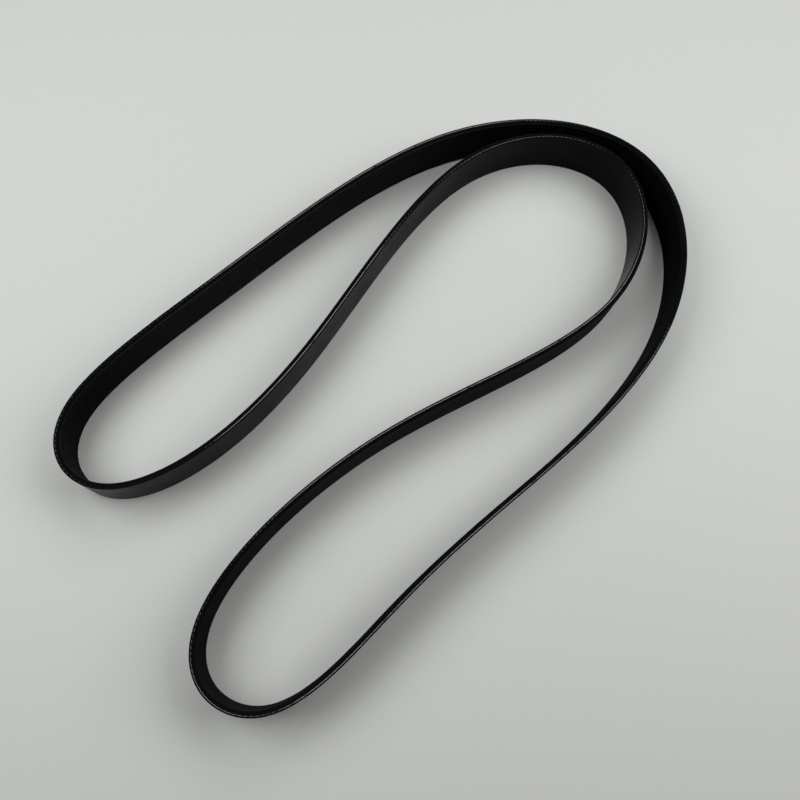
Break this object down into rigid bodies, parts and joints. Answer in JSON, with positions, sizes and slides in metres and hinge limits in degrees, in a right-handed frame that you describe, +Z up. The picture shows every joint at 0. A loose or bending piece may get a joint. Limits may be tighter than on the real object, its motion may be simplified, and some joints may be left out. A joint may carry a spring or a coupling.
{
  "type": "serpentine belt",
  "caption": "Endless V-ribbed rubber belt standing free on its cut edge and folded into a U, with ribs round the inside and a smooth back, for driving engine accessories.",
  "frame": {"origin": "middle of the belt's footprint, on the surface it stands on", "axes": "+X along the loops towards the wide bends, away from the mouth between the legs; +Y towards the shorter of the loops; +Z up, across the belt's width"},
  "size_m": [0.47, 0.249, 0.0356],
  "materials": {
    "belt_rubber": "matte black moulded rubber, ground ribs inside and a faint fabric texture on the back",
    "cord_fibre": "grey twisted tensile cord, bared in dashes along both cut edges"
  },
  "bodies": {
    "root": {"ribbed_belt": "belt_rubber"}
  },
  "joints": []
}
